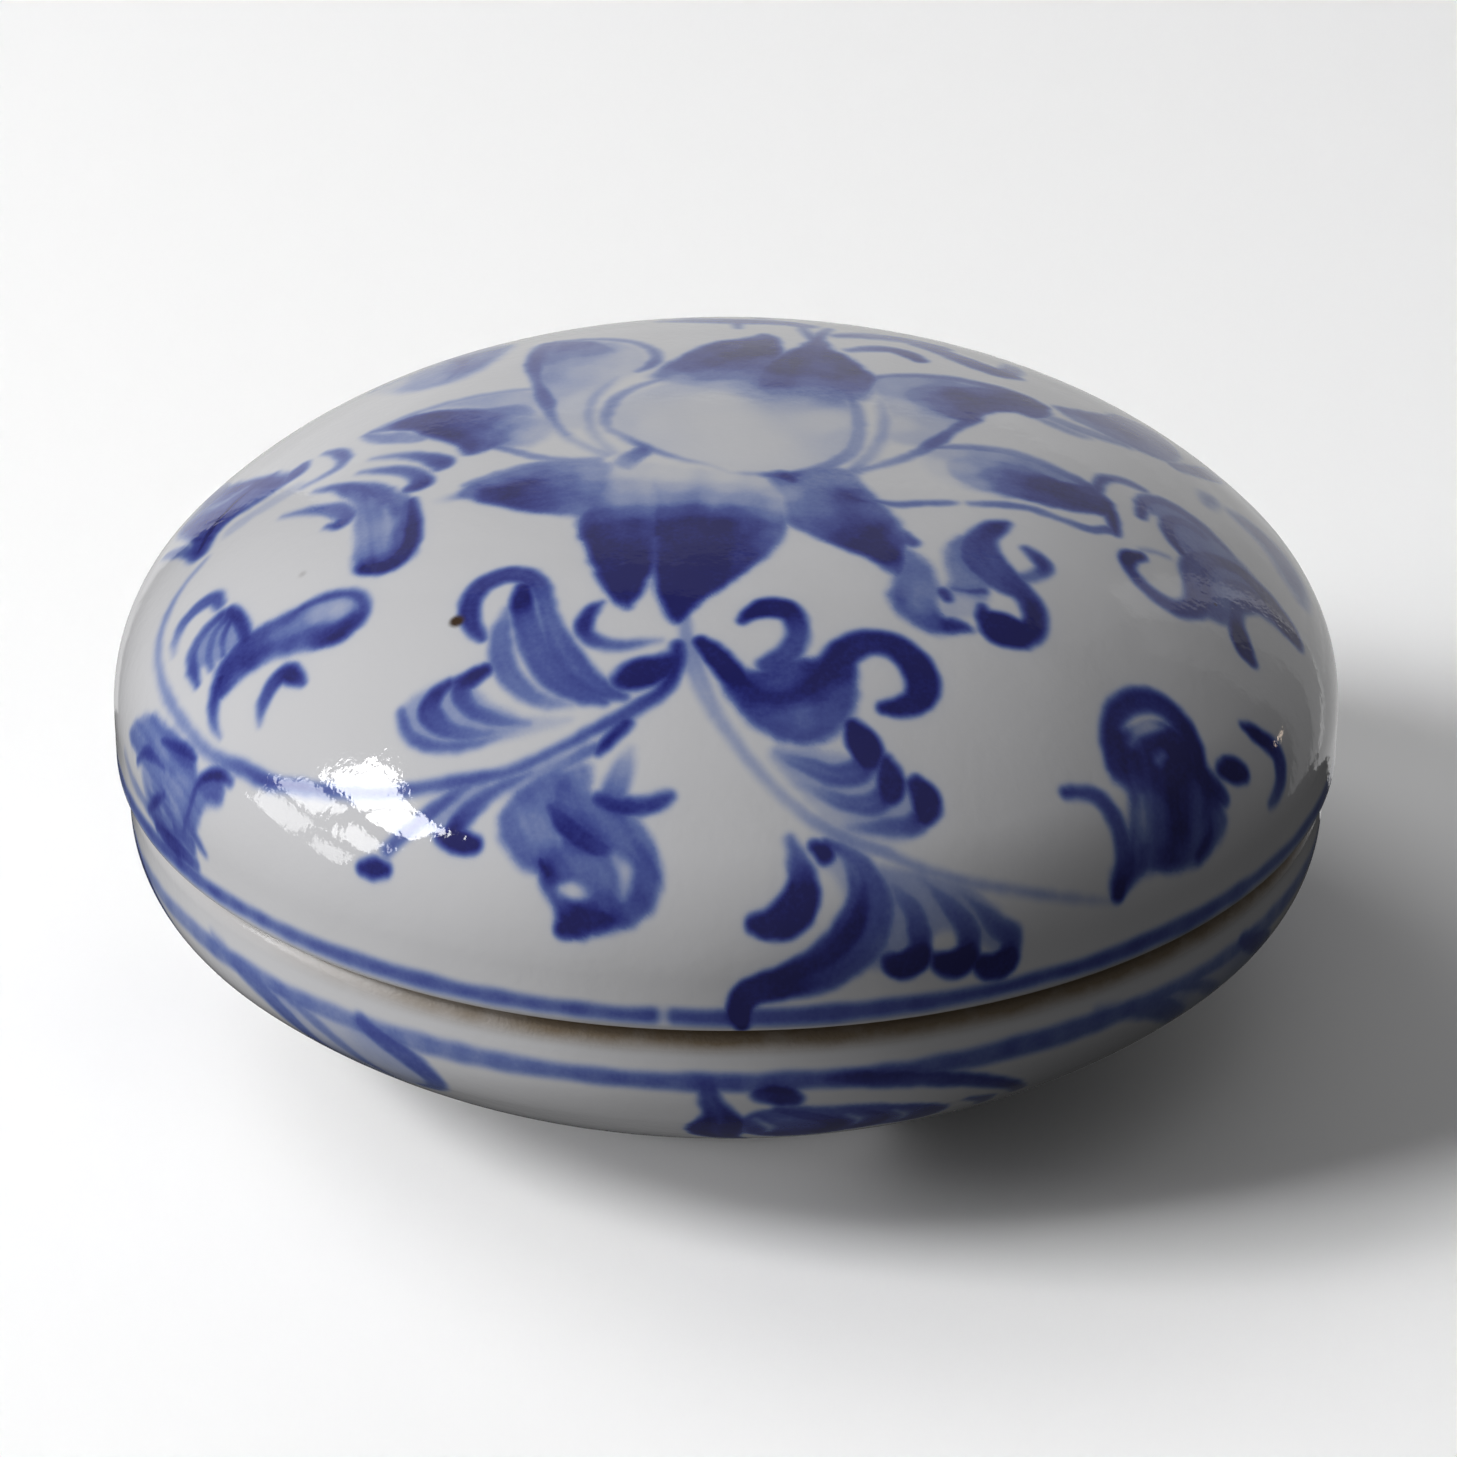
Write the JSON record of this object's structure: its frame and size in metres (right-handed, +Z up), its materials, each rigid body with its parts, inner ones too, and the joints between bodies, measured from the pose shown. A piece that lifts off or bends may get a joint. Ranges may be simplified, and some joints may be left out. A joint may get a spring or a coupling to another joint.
{
  "type": "round porcelain trinket box",
  "caption": "Round glazed porcelain trinket box: a shallow footed bowl with a domed lift-off lid, painted with blue flowers and leaf scrolls.",
  "frame": {"origin": "centre of the foot ring's resting face, on the table plane", "axes": "+Z up along the axis of both turned pieces; -Y faces the viewer of the painted decoration's front"},
  "size_m": [0.1, 0.1, 0.0498],
  "materials": {
    "base_porcelain": "gloss",
    "lid_porcelain": "gloss"
  },
  "bodies": {
    "base": {"base": "base_porcelain"},
    "lid": {"lid": "lid_porcelain"}
  },
  "joints": [
    {"name": "lid_lift", "type": "slide", "parent": "base", "child": "lid", "axis": [0, 0, 1], "range_m": [0, 0.08]}
  ]
}
